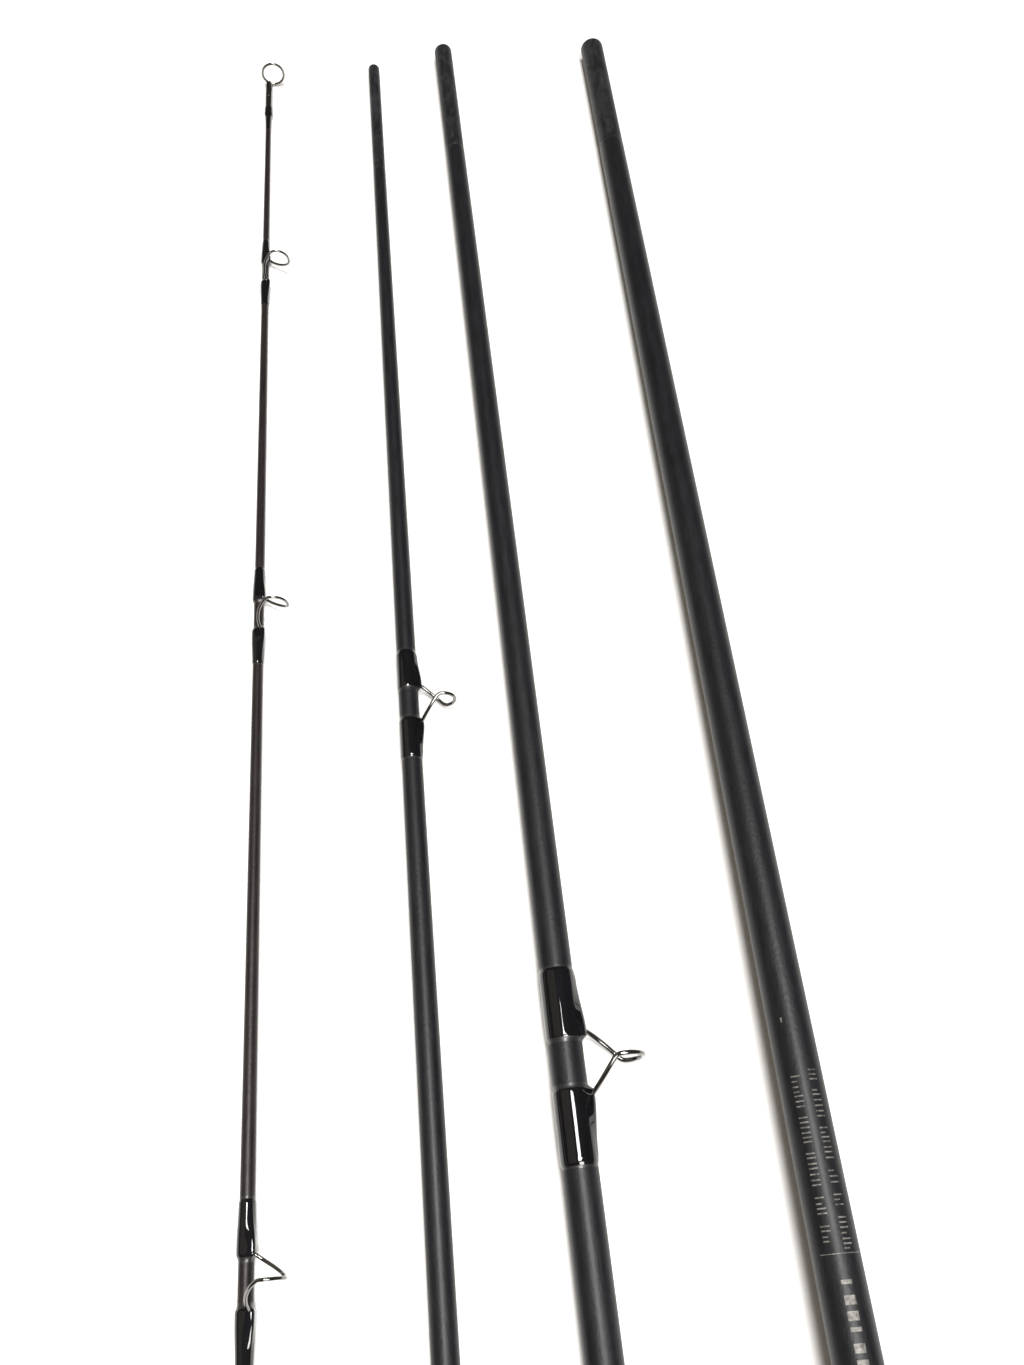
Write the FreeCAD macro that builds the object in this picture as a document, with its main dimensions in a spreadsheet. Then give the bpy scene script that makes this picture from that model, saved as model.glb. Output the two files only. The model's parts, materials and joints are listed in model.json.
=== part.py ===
"""Four-piece fly rod, 2743 mm assembled, as its four loose sections lie side by side on a table.

Every section is modelled in a frame of its own: Y runs from the section's front end (station 0)
towards its butt end, X points to the side that carries the guides, and Z is square to both.
The section is then laid in the row frame, where +Y is towards the tip, +X to the right and +Z up.
Lengths are millimetres, stations are distances behind a section's front end.
"""
import FreeCAD, Part
import math
import os
import Sketcher

Vector = FreeCAD.Vector

SIZES = {
    # sections and ferrules
    "section_length": 728.0,
    "seat_length": 56.5,
    "seat_step": 0.05,
    "seat_clearance": 0.03,
    "socket_depth": 60.0,
    "swell_station": 655.0,
    "mid_station": 400.0,
    # outside diameters: front end, 400 mm back, start of the socket's swelling, back end
    "tip_front_d": 1.62,
    "tip_mid_d": 3.12,
    "tip_swell_d": 4.30,
    "tip_back_d": 4.90,
    "upper_front_d": 3.86,
    "upper_mid_d": 5.46,
    "upper_swell_d": 6.60,
    "upper_back_d": 7.20,
    "lower_front_d": 6.05,
    "lower_mid_d": 7.48,
    "lower_swell_d": 8.46,
    "lower_back_d": 9.10,
    "butt_front_d": 7.84,
    "butt_mid_d": 9.22,
    "butt_swell_d": 10.16,
    "butt_back_d": 10.40,
    # walls
    "tip_blank_start": 3.5,
    "tip_bore_start": 220.0,
    "tip_wall": 0.85,
    "upper_wall": 0.85,
    "lower_wall": 0.95,
    "butt_wall": 1.05,
    "butt_blank_end": 718.0,
    # guide stations, each from its own section's front end
    "tip_guide_1": 98.4,
    "tip_guide_2": 226.1,
    "tip_guide_3": 377.6,
    "tip_guide_4": 533.5,
    "tip_guide_5": 686.5,
    "upper_guide_1": 259.0,
    "upper_guide_2": 466.0,
    "upper_guide_3": 686.0,
    "lower_guide_1": 353.0,
    "stripping_guide_station": 606.0,
    # snake guides: wire, loop radius to the wire's centre, stand-off, how far each leg starts
    # inside its wrap, how much the loop narrows towards the feet, how much of the loop the legs
    # cross, how straight they run, half gap, wrap length
    "tip_wire_d": 0.60,
    "tip_loop_r": 3.70,
    "tip_stand_off": 1.05,
    "tip_leg_lead": 0.9,
    "tip_pear": 0.15,
    "tip_meet": 0.75,
    "tip_bend": 0.60,
    "tip_half_gap": 4.25,
    "tip_wrap_length": 10.6,
    "upper_wire_d": 0.70,
    "upper_loop_r": 4.0,
    "upper_stand_off": 0.6,
    "upper_leg_lead": 1.0,
    "upper_pear": 0.7,
    "upper_meet": 0.60,
    "upper_bend": 1.10,
    "upper_half_gap": 4.05,
    "upper_wrap_length": 11.8,
    "lower_wire_d": 0.80,
    "lower_loop_r": 5.70,
    "lower_stand_off": 0.30,
    "lower_leg_lead": 1.5,
    "lower_pear": 0.60,
    "lower_meet": 0.57,
    "lower_bend": 1.20,
    "lower_half_gap": 4.85,
    "lower_wrap_length": 15.3,
    "foot_share": 0.82,
    # thread wraps
    "wrap_cover": 0.20,
    "wrap_far_cover": 0.06,
    "wrap_near_drop": 0.16,
    "wrap_widest_share": 0.30,
    "ferrule_wrap_length": 18.0,
    "ferrule_wrap_cover": 0.34,
    # stripping guide
    "strip_wire_d": 1.10,
    "strip_ring_r": 5.70,
    "strip_ring_wire_d": 1.30,
    "strip_ring_rise": 9.0,
    "strip_half_gap": 6.0,
    "strip_wrap_length": 15.3,
    "strip_bore_r": 4.30,
    "strip_strut_turn": 62.0,
    "strip_strut_share": 0.85,
    "strip_ceramic_length": 1.9,
    # tip top
    "tip_top_tube_d": 2.40,
    "tip_top_tube_end": 19.0,
    "tip_top_loop_r": 3.65,
    "tip_top_wire_d": 0.70,
    "tip_top_turn": 12.0,
    "tip_top_wrap_start": 15.2,
    "tip_top_wrap_end": 26.8,
    "tip_top_wrap_d": 2.78,
    # hook keeper
    "keeper_start": 420.0,
    "keeper_length": 9.0,
    "keeper_rise": 3.6,
    "keeper_wire_d": 0.80,
    "keeper_foot": 5.0,
    "keeper_bend": 1.3,
    # grip
    "grip_start": 443.0,
    "grip_length": 175.0,
    "grip_front_r": 6.8,
    "grip_waist_r": 11.3,
    "grip_swell_r": 12.9,
    "grip_back_r": 11.6,
    "cork_ring_count": 14.0,
    "winding_check_length": 2.6,
    "winding_check_r": 6.4,
    # reel seat
    "seat_bore_r": 7.05,
    "insert_r": 8.75,
    "bed_height": 7.60,
    "insert_end": 681.0,
    "barrel_r": 9.20,
    "barrel_end": 723.0,
    "hood_wall": 0.95,
    "hood_clearance": 0.08,
    "fixed_hood_length": 16.0,
    "pocket_r": 8.0,
    "pocket_offset": 4.30,
    "pocket_floor": 4.0,
    "slide_hood_start": 698.0,
    "slide_hood_length": 12.0,
    "washer_length": 0.9,
    "nut_gap": 0.25,
    "nut_length": 8.6,
    "nut_r": 11.7,
    "knurl_count": 30.0,
    "knurl_r": 0.75,
    "nut_ring_r": 0.75,
    "cap_length": 5.0,
    "cap_r": 11.9,
    "cap_plug_length": 9.0,
    # how the sections lie: front end, turn towards +X, roll of the guides above the table
    "tip_x": -50.55,
    "tip_y": 383.1,
    "tip_yaw": -0.06,
    "tip_roll": 45.0,
    "tip_front_z": 1.36,
    "tip_back_z": 2.8,
    "upper_x": -13.1,
    "upper_y": 385.8,
    "upper_yaw": -0.03,
    "upper_roll": 12.0,
    "upper_front_z": 2.27,
    "upper_back_z": 4.22,
    "lower_x": 12.2,
    "lower_y": 392.1,
    "lower_yaw": -0.57,
    "lower_roll": 11.5,
    "lower_front_z": 3.35,
    "lower_back_z": 5.15,
    "butt_x": 65.85,
    "butt_y": 388.2,
    "butt_yaw": 0.66,
    "butt_roll": 0.0,
    "butt_front_z": 3.94,
    "butt_back_z": 15.10,
}

# how finely a wire's loop is divided, how quickly it springs clear of its foot, and how much of
# each straight run its rounded corners take
LOOP_POINTS = 15
STAND_OFF_POWER = 6
ARC_SHARE = 0.45
# how far a wrap leans to the foot it covers, as a share of the wire's diameter
WRAP_LEAN = 0.42
# the grip's outline: share of its length, which radius, and what to add to it
GRIP_OUTLINE = (
    (0.00, "grip_front_r", 0.0), (0.13, "grip_front_r", 1.5), (0.30, "grip_waist_r", -0.9),
    (0.46, "grip_waist_r", 0.0), (0.66, "grip_swell_r", -0.5), (0.80, "grip_swell_r", 0.0),
    (0.91, "grip_swell_r", -0.4), (1.00, "grip_back_r", 0.0),
)
# first and last station of each arbor that packs the reel seat out from the blank
ARBORS = ((624, 634), (648, 658), (672, 680), (698, 706))


class Size:
    """A length that carries its number and the spreadsheet expression that gives it."""

    def __init__(self, text, number):
        self.text = text
        self.number = number

    def __add__(self, other):
        return joined(self, "+", other)

    def __sub__(self, other):
        return joined(self, "-", other)

    def __mul__(self, other):
        return joined(self, "*", other)

    def __truediv__(self, other):
        return joined(self, "/", other)


def plain(number):
    return Size(repr(float(number)), float(number))


def joined(left, sign, right):
    if not isinstance(right, Size):
        right = plain(right)
    results = {
        "+": left.number + right.number,
        "-": left.number - right.number,
        "*": left.number * right.number,
        "/": left.number / right.number if right.number else 0.0,
    }
    return Size("(" + left.text + " " + sign + " " + right.text + ")", results[sign])


def cell(name):
    return Size("Sizes." + name, SIZES[name])


def fill_sheet(document):
    sheet = document.addObject("Spreadsheet::Sheet", "Sizes")
    for row, (name, number) in enumerate(SIZES.items(), start=1):
        sheet.set("A" + str(row), name)
        sheet.set("B" + str(row), repr(number))
        sheet.setAlias("B" + str(row), name)
    document.recompute()


def bind(item, **sizes):
    for name, size in sizes.items():
        if not isinstance(size, Size):
            size = plain(size)
        item.setExpression(name, size.text)


def put(item, x, y, z, turn=None):
    """Place a form in its section's frame, with its offsets bound to the sheet."""
    item.Placement = FreeCAD.Placement(Vector(0, 0, 0), turn or FreeCAD.Rotation())
    for axis, size in (("x", x), ("y", y), ("z", z)):
        if not isinstance(size, Size):
            size = plain(size)
        item.setExpression("Placement.Base." + axis, size.text)
    return item


ALONG_Y = FreeCAD.Rotation(Vector(1, 0, 0), -90)


class Rod:
    """The document, the forms in it, and the nodes made from them."""

    def __init__(self):
        self.document = FreeCAD.newDocument("fly_rod")
        self.nodes = {}
        fill_sheet(self.document)

    def add(self, kind, name):
        return self.document.addObject(kind, name)

    def revolved(self, name, outline):
        """A body turned about the section's axis from (radius, station) corners."""
        body = self.add("PartDesign::Body", name)
        sketch = body.newObject("Sketcher::SketchObject", name + "_outline")
        plane = [item for item in body.Origin.OriginFeatures if item.Role == "XY_Plane"][0]
        sketch.AttachmentSupport = [(plane, "")]
        sketch.MapMode = "FlatFace"
        draw_outline(sketch, outline)
        turned = body.newObject("PartDesign::Revolution", name + "_turned")
        turned.Profile = sketch
        turned.ReferenceAxis = (sketch, ["V_Axis"])
        turned.Angle = 360
        return body

    def cone(self, name, start_r, end_r, start, end, offset=0.0):
        item = self.add("Part::Cone", name)
        bind(item, Radius1=start_r, Radius2=end_r, Height=end - start)
        return put(item, offset, start, 0.0, ALONG_Y)

    def cylinder(self, name, radius, start, end, offset=0.0):
        item = self.add("Part::Cylinder", name)
        bind(item, Radius=radius, Height=end - start)
        return put(item, offset, start, 0.0, ALONG_Y)

    def fuse(self, name, items):
        fused = self.add("Part::MultiFuse", name)
        fused.Shapes = items
        fused.Refine = True
        return fused

    def cut(self, name, base, *tools):
        for number, tool in enumerate(tools):
            last = number == len(tools) - 1
            step = self.add("Part::Cut", name if last else name + "_step_" + str(number))
            step.Base = base
            step.Tool = tool
            base = step
        return base

    def common(self, name, base, tool):
        item = self.add("Part::Common", name)
        item.Base = base
        item.Tool = tool
        return item

    def solid(self, name, shape):
        item = self.add("Part::Feature", name)
        item.Shape = shape
        return item

    def node(self, name, section, *forms):
        """A sub-part: its forms gathered under the name of its file, laid with its section."""
        item = self.add("Part::Compound", name)
        item.Label = name
        item.Links = list(forms)
        self.nodes[name] = (item, section)
        return item


def draw_outline(sketch, outline):
    corners = [Vector(radius.number, station.number, 0) for radius, station in outline]
    count = len(corners)
    for index, corner in enumerate(corners):
        sketch.addGeometry(Part.LineSegment(corner, corners[(index + 1) % count]))
    for index in range(count):
        sketch.addConstraint(Sketcher.Constraint("Coincident", index, 2, (index + 1) % count, 1))
    for index, (radius, station) in enumerate(outline):
        for kind, size in (("DistanceX", radius), ("DistanceY", station)):
            limit = Sketcher.Constraint(kind, -1, 1, index, 1, size.number)
            sketch.setExpression("Constraints[" + str(sketch.addConstraint(limit)) + "]", size.text)


def outline_of(*pairs):
    sized = []
    for radius, station in pairs:
        radius = radius if isinstance(radius, Size) else plain(radius)
        station = station if isinstance(station, Size) else plain(station)
        sized.append((radius, station))
    return sized


# ---------------------------------------------------------------- blanks

def taper_points(section):
    """The blank's (station, radius) corners behind its ferrule seat."""
    if section == "tip":
        start, first_r = cell("tip_blank_start"), cell("tip_front_d") / 2
    else:
        start, first_r = cell("seat_length"), cell(section + "_front_d") / 2 + cell("seat_step")
    end = cell("butt_blank_end") if section == "butt" else cell("section_length")
    return [
        (start, first_r),
        (cell("mid_station"), cell(section + "_mid_d") / 2),
        (cell("swell_station"), cell(section + "_swell_d") / 2),
        (end, cell(section + "_back_d") / 2),
    ]


def blank_radius(section, station):
    """The blank's outside radius at a station behind its ferrule seat."""
    points = taper_points(section)
    for (near, near_r), (far, far_r) in zip(points, points[1:]):
        if station.number <= far.number or far is points[-1][0]:
            return near_r + (far_r - near_r) * (station - near) / (far - near)
    return points[-1][1]


def make_blank(rod, section, inner_section):
    """A tapered tube; inner_section is the section whose front end its socket takes."""
    outer = [(radius, station) for station, radius in taper_points(section)]
    wall = cell(section + "_wall")
    back_r = cell(section + "_swell_d") / 2 - wall
    if section == "tip":
        front = [(plain(0), cell("tip_blank_start"))]
        bore_end = [(back_r * 0.5, cell("tip_bore_start")), (plain(0), cell("tip_bore_start"))]
    else:
        front_r = cell(section + "_front_d") / 2
        front = [(front_r, plain(0)), (front_r, cell("seat_length"))]
        bore_end = [(front_r - wall, plain(0))]
    if inner_section:
        socket_r = cell(inner_section + "_front_d") / 2 + cell("seat_clearance")
        floor = cell("section_length") - cell("socket_depth")
        back = [(socket_r, cell("section_length")), (socket_r, floor), (back_r, floor)]
    else:
        back = [(back_r, cell("butt_blank_end"))]
    return rod.revolved(section + "_blank_form", outline_of(*front, *outer, *back, *bore_end))


# ---------------------------------------------------------------- wire paths

def rounded_path(points):
    """Straight runs joined by tangent arcs, each as large as its two runs allow."""
    edges = []
    start = points[0]
    for before, corner, after in zip(points, points[1:], points[2:]):
        back = (before - corner).normalize()
        ahead = (after - corner).normalize()
        turn = math.pi - back.getAngle(ahead)
        reach = ARC_SHARE * min((before - corner).Length, (after - corner).Length)
        radius = reach / math.tan(turn / 2)
        inward = (back + ahead).normalize()
        middle = corner + inward * (math.hypot(radius, reach) - radius)
        arc_start = corner + back * reach
        arc_end = corner + ahead * reach
        edges.append(Part.LineSegment(start, arc_start).toShape())
        edges.append(Part.Arc(arc_start, middle, arc_end).toShape())
        start = arc_end
    edges.append(Part.LineSegment(start, points[-1]).toShape())
    return Part.Wire(edges)


def wire_along(points, radius):
    path = rounded_path(points)
    ahead = points[1] - points[0]
    ring = Part.Wire(Part.Circle(points[0], ahead, radius).toShape())
    tube = path.makePipeShell([ring], True, False)
    expected = math.pi * radius ** 2 * path.Length
    if abs(tube.Volume - expected) > 0.02 * expected:
        raise ValueError("a swept wire has the wrong volume")
    return tube


def snake_points(section, station):
    """Foot, open loop round the line's way, foot: the loop leans towards the tip on its low side."""
    size = {name: SIZES[section + "_" + name] for name in
            ("wire_d", "loop_r", "stand_off", "leg_lead", "pear", "meet", "bend", "half_gap",
             "wrap_length")}
    foot_x = blank_radius(section, station + size["half_gap"] + size["wrap_length"]).number
    foot_x += size["wire_d"] / 2 + 0.02
    lead = size["half_gap"] + size["leg_lead"]
    foot_end = size["half_gap"] + SIZES["foot_share"] * size["wrap_length"]
    centre_x = foot_x + size["loop_r"] + size["stand_off"]
    points = [Vector(foot_x, station.number - foot_end, 0)]
    for index in range(LOOP_POINTS + 1):
        angle = 2 * math.pi * index / LOOP_POINTS
        half = math.cos(angle / 2)
        side = -1 if half > 0 else 1
        x = centre_x - size["loop_r"] * math.cos(angle) - size["stand_off"] * half ** STAND_OFF_POWER
        share = min(1.0, math.sin(angle / 2) ** 2 / size["meet"])
        y = station.number + side * lead * (1 - share ** size["bend"])
        z = size["loop_r"] * math.sin(angle) * math.sin(angle / 2) ** size["pear"]
        points.append(Vector(x, y, z))
    points.append(Vector(foot_x, station.number + foot_end, 0))
    return points


# ---------------------------------------------------------------- thread wraps

def make_wraps(rod, name, section, station, wire, half_gap, length, wire_d):
    """Two thread wraps over a wire's feet: eccentric cones, fattest near the wire, less the blank."""
    lean = wire_d * WRAP_LEAN
    cones = []
    for side in (-1, 1):
        near = station + half_gap * side
        widest = station + (half_gap + length * cell("wrap_widest_share")) * side
        far = station + (half_gap + length) * side
        near_r = blank_radius(section, near) + wire_d + cell("wrap_cover") - lean
        widest_r = blank_radius(section, widest) + wire_d + cell("wrap_cover") - lean
        far_r = blank_radius(section, far) + cell("wrap_far_cover") + lean
        near_r = near_r - cell("wrap_near_drop")
        ends = [(near_r, near), (widest_r, widest), (far_r, far)]
        if side < 0:
            ends.reverse()
        for index, ((start_r, start), (end_r, end)) in enumerate(zip(ends, ends[1:])):
            label = name + ("_front" if side < 0 else "_rear") + "_cone_" + str(index)
            cones.append(rod.cone(label, start_r, end_r, start, end, lean))
    reach = half_gap + length + 1.0
    start, end = station - reach, station + reach
    core = rod.cone(name + "_core", blank_radius(section, start), blank_radius(section, end), start, end)
    return rod.cut(name + "_form", rod.fuse(name + "_cones", cones), core, wire)


def make_snake_guide(rod, section, number):
    station = cell(section + "_guide_" + str(number))
    label = {"tip": "tip", "upper": "upper_mid", "lower": "lower_mid"}[section]
    name = label + "_snake_guide_" + str(number)
    radius = SIZES[section + "_wire_d"] / 2
    wire = rod.solid(name + "_form", wire_along(snake_points(section, station), radius))
    rod.node(name, section, wire)
    sizes = [cell(section + "_" + part) for part in ("half_gap", "wrap_length", "wire_d")]
    wraps = make_wraps(rod, name + "_wraps", section, station, wire, *sizes)
    rod.node(label + "_guide_wraps_" + str(number), section, wraps)


def make_ferrule_wrap(rod, section, label):
    """Thread wound round the socket's mouth to keep it from splitting."""
    end = cell("section_length") - 0.4
    start = end - cell("ferrule_wrap_length")
    cover = cell("ferrule_wrap_cover")
    ramp = start + 2.5
    outline = outline_of(
        (blank_radius(section, start), start),
        (blank_radius(section, start) + 0.06, start),
        (blank_radius(section, ramp) + cover, ramp),
        (blank_radius(section, end) + cover, end - 1.0),
        (blank_radius(section, end) + cover * 0.4, end),
        (blank_radius(section, end), end),
    )
    rod.node(label + "_ferrule_wrap", section, rod.revolved(label + "_ferrule_wrap_form", outline))


# ---------------------------------------------------------------- tip top

def make_tip_top(rod):
    tube_r = cell("tip_top_tube_d") / 2
    bore_r = blank_radius("tip", cell("tip_top_tube_end"))
    blank_start, tube_end = cell("tip_blank_start"), cell("tip_top_tube_end")
    tube_start = cell("tip_top_wire_d") + 0.02
    tube = rod.revolved("tip_top_tube_form", outline_of(
        (0, tube_start), (tube_r - 0.35, tube_start), (tube_r, tube_start + 0.5), (tube_r, tube_end),
        (bore_r, tube_end), (bore_r, blank_start), (0, blank_start)))
    rod.node("tip_top_tube", "tip", tube)
    loop = rod.add("Part::Torus", "tip_top_loop_form")
    bind(loop, Radius1=cell("tip_top_loop_r"), Radius2=cell("tip_top_wire_d") / 2)
    turn = math.radians(SIZES["tip_top_turn"])
    loop_r = cell("tip_top_loop_r")
    put(loop, loop_r * math.cos(turn), cell("tip_top_wire_d") / 2, loop_r * -math.sin(turn), ALONG_Y)
    rod.node("tip_top_loop", "tip", loop)
    start, end = cell("tip_top_wrap_start"), cell("tip_top_wrap_end")
    wrap_r = cell("tip_top_wrap_d") / 2
    wrap = rod.revolved("tip_top_wrap_form", outline_of(
        (tube_r, start), (wrap_r - 0.06, start), (wrap_r, start + 0.8), (wrap_r - 0.05, tube_end + 0.5),
        (blank_radius("tip", end) + 0.08, end), (blank_radius("tip", end), end),
        (bore_r, tube_end), (tube_r, tube_end)))
    rod.node("tip_top_wrap", "tip", wrap)


# ---------------------------------------------------------------- stripping guide

def rod_between(rod, name, start, end, radius):
    """A straight round strut from one point to another in the section's frame."""
    strut = rod.add("Part::Cylinder", name)
    bind(strut, Radius=radius, Height=(end - start).Length)
    strut.Placement = FreeCAD.Placement(start, FreeCAD.Rotation(Vector(0, 0, 1), end - start))
    return strut


def make_stripping_guide(rod):
    station = cell("stripping_guide_station")
    wire_r = cell("strip_wire_d") / 2
    blank_r = blank_radius("lower", station + cell("strip_half_gap") + cell("strip_wrap_length"))
    foot_x = blank_r + wire_r + 0.02
    centre_x = blank_r + cell("strip_ring_rise")
    ring = rod.add("Part::Torus", "stripping_guide_band")
    bind(ring, Radius1=cell("strip_ring_r"), Radius2=cell("strip_ring_wire_d") / 2)
    put(ring, centre_x, station, 0.0, ALONG_Y)
    pieces = [ring]
    gap = SIZES["strip_half_gap"]
    foot_length = SIZES["foot_share"] * SIZES["strip_wrap_length"]
    for side, label in ((-1, "front"), (1, "rear")):
        heel = Vector(foot_x.number, station.number + side * (gap + 0.6), 0)
        toe = heel + Vector(0, side * foot_length, 0)
        pieces.append(rod_between(rod, "stripping_foot_" + label, heel, toe, wire_r))
        knee = rod.add("Part::Sphere", "stripping_knee_" + label)
        bind(knee, Radius=wire_r)
        knee.Placement.Base = heel
        pieces.append(knee)
        for hand, hand_label in ((-1, "left"), (1, "right")):
            angle = math.radians(SIZES["strip_strut_turn"])
            top = Vector(centre_x.number - SIZES["strip_ring_r"] * math.cos(angle),
                         station.number, hand * SIZES["strip_ring_r"] * math.sin(angle))
            name = "stripping_strut_" + label + "_" + hand_label
            pieces.append(rod_between(rod, name, heel, top, wire_r * cell("strip_strut_share")))
    seat_r = cell("strip_ring_r") - cell("strip_ring_wire_d") / 2 + 0.25
    half = cell("strip_ceramic_length") / 2
    seat = rod.cylinder("stripping_ring_seat", seat_r, station - half, station + half, centre_x)
    frame = rod.cut("stripping_guide_frame_form", rod.fuse("stripping_frame_parts", pieces), seat)
    rod.node("stripping_guide_frame", "lower", frame)
    blank = rod.cylinder("stripping_ceramic_blank", seat_r, station - half, station + half, centre_x)
    way = rod.cylinder("stripping_ceramic_way", cell("strip_bore_r"),
                       station - half * 2, station + half * 2, centre_x)
    ceramic = rod.cut("stripping_guide_ring_form", blank, way)
    rod.node("stripping_guide_ring", "lower", ceramic)
    wraps = make_wraps(rod, "stripping_wraps", "lower", station, frame, cell("strip_half_gap"),
                       cell("strip_wrap_length"), cell("strip_wire_d"))
    rod.node("stripping_guide_wraps", "lower", wraps)


# ---------------------------------------------------------------- hook keeper and grip

def make_hook_keeper(rod):
    radius = SIZES["keeper_wire_d"] / 2
    start, length, foot = (SIZES["keeper_" + name] for name in ("start", "length", "foot"))
    middle = cell("keeper_start") + cell("keeper_length") / 2
    foot_x = blank_radius("butt", middle + length / 2 + foot).number + radius + 0.02
    top_x = foot_x + SIZES["keeper_rise"]
    bend = SIZES["keeper_bend"]
    points = [Vector(x, y, 0) for x, y in (
        (foot_x, start - foot), (foot_x, start), (top_x - bend, start + bend * 0.6),
        (top_x, start + bend * 1.8), (top_x + 0.25, start + length / 2),
        (top_x, start + length - bend * 1.8), (top_x - bend, start + length - bend * 0.6),
        (foot_x, start + length), (foot_x, start + length + foot))]
    wire = rod.solid("hook_keeper_form", wire_along(points, radius))
    rod.node("hook_keeper", "butt", wire)
    wraps = make_wraps(rod, "hook_keeper_wraps_both", "butt", middle, wire,
                       cell("keeper_length") / 2 + 0.3, cell("keeper_foot") + 1.0, cell("keeper_wire_d"))
    rod.node("hook_keeper_wraps", "butt", wraps)


def make_grip(rod):
    start = cell("grip_start")
    length = cell("grip_length")
    end = start + length
    outer = [(cell(name) + extra, start + length * share) for share, name, extra in GRIP_OUTLINE]
    inner = [(blank_radius("butt", end), end), (blank_radius("butt", start), start)]
    form = rod.revolved("cork_form", outline_of(*outer, *inner))
    count = int(SIZES["cork_ring_count"])
    rings = []
    for index in range(count):
        low = start + length * (index / count)
        high = start + length * ((index + 1) / count)
        slab = rod.cylinder("cork_slab_" + str(index + 1), cell("grip_swell_r") * 2, low, high)
        rings.append(rod.common("cork_ring_" + str(index + 1), form, slab))
    rod.node("cork_grip_rings", "butt", *rings)
    check_start = start - cell("winding_check_length")
    bore_r = blank_radius("butt", start) + 0.02
    check_r = cell("winding_check_r")
    check = rod.revolved("winding_check_form", outline_of(
        (bore_r, check_start), (check_r - 0.9, check_start), (check_r - 0.2, check_start + 0.7),
        (check_r, check_start + 1.4), (check_r, start), (bore_r, start)))
    rod.node("winding_check", "butt", check)


# ---------------------------------------------------------------- reel seat

def bed_cutter(rod, name, start, end):
    """A block whose near face is the flat bed that the reel's foot lies on."""
    block = rod.add("Part::Box", name)
    bind(block, Length=20.0, Width=end - start, Height=40.0)
    return put(block, cell("bed_height"), start, -20.0)


def hood_form(rod, name, bore_r, start, end, floor_at_start):
    """A sleeve with a raised pocket on the bed side that grips one end of the reel's foot."""
    wall = cell("hood_wall")
    floor = cell("pocket_floor")
    outer = [
        rod.cylinder(name + "_sleeve", bore_r + wall, start, end),
        rod.cylinder(name + "_hump", cell("pocket_r") + wall, start, end, cell("pocket_offset")),
    ]
    hollow_start = start + floor if floor_at_start else start - 1.0
    hollow_end = end + 1.0 if floor_at_start else end - floor
    tools = [
        rod.cylinder(name + "_bore", bore_r, start - 1.0, end + 1.0),
        rod.cylinder(name + "_pocket", cell("pocket_r"), hollow_start, hollow_end, cell("pocket_offset")),
    ]
    return rod.cut(name + "_form", rod.fuse(name + "_outer", outer), *tools)


def make_reel_seat(rod):
    start = cell("grip_start") + cell("grip_length")
    bore_r = cell("seat_bore_r")
    insert_r = cell("insert_r")
    insert_end, barrel_end = cell("insert_end"), cell("barrel_end")
    hood_end = start + cell("fixed_hood_length")

    round_insert = rod.revolved("insert_round", outline_of(
        (bore_r, start), (insert_r, start), (insert_r, insert_end), (bore_r, insert_end)))
    bed_start = start + cell("pocket_floor")
    insert = rod.cut("insert_form", round_insert, bed_cutter(rod, "insert_bed", bed_start, insert_end + 1.0))
    rod.node("reel_seat_insert", "butt", insert)

    fixed = hood_form(rod, "fixed_hood", insert_r + 0.01, start, hood_end, True)
    rod.node("fixed_hood", "butt", fixed)

    barrel_r = cell("barrel_r")
    round_barrel = rod.revolved("barrel_round", outline_of(
        (bore_r, insert_end), (barrel_r - 0.35, insert_end), (barrel_r, insert_end + 0.6),
        (barrel_r, barrel_end), (bore_r, barrel_end)))
    keyway = bed_cutter(rod, "barrel_keyway", insert_end - 1.0, barrel_end - 9.0)
    rod.node("threaded_barrel", "butt", rod.cut("barrel_form", round_barrel, keyway))

    arbors = []
    for index, (low, high) in enumerate(ARBORS, start=1):
        inner = rod.cone("arbor_core_" + str(index), blank_radius("butt", plain(low - 1)),
                         blank_radius("butt", plain(high + 1)), plain(low - 1), plain(high + 1))
        outer = rod.cylinder("arbor_outer_" + str(index), bore_r - 0.01, plain(low), plain(high))
        arbors.append(rod.cut("arbor_form_" + str(index), outer, inner))
    rod.node("seat_arbors", "butt", *arbors)

    cap_end = barrel_end + cell("cap_length")
    cap_r = cell("cap_r")
    plug_r = bore_r - 0.02
    plug_start = barrel_end - cell("cap_plug_length")
    plug_bore = blank_radius("butt", cell("butt_blank_end")) + 0.25
    cap = rod.revolved("butt_cap_form", outline_of(
        (plug_bore, plug_start), (plug_r, plug_start), (plug_r, barrel_end), (cap_r - 0.5, barrel_end),
        (cap_r, barrel_end + 0.5), (cap_r, cap_end - 1.1), (cap_r - 1.1, cap_end), (0, cap_end),
        (0, barrel_end + 1.5), (plug_bore, barrel_end + 1.5)))
    rod.node("butt_cap", "butt", cap)
    make_lock(rod)


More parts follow.
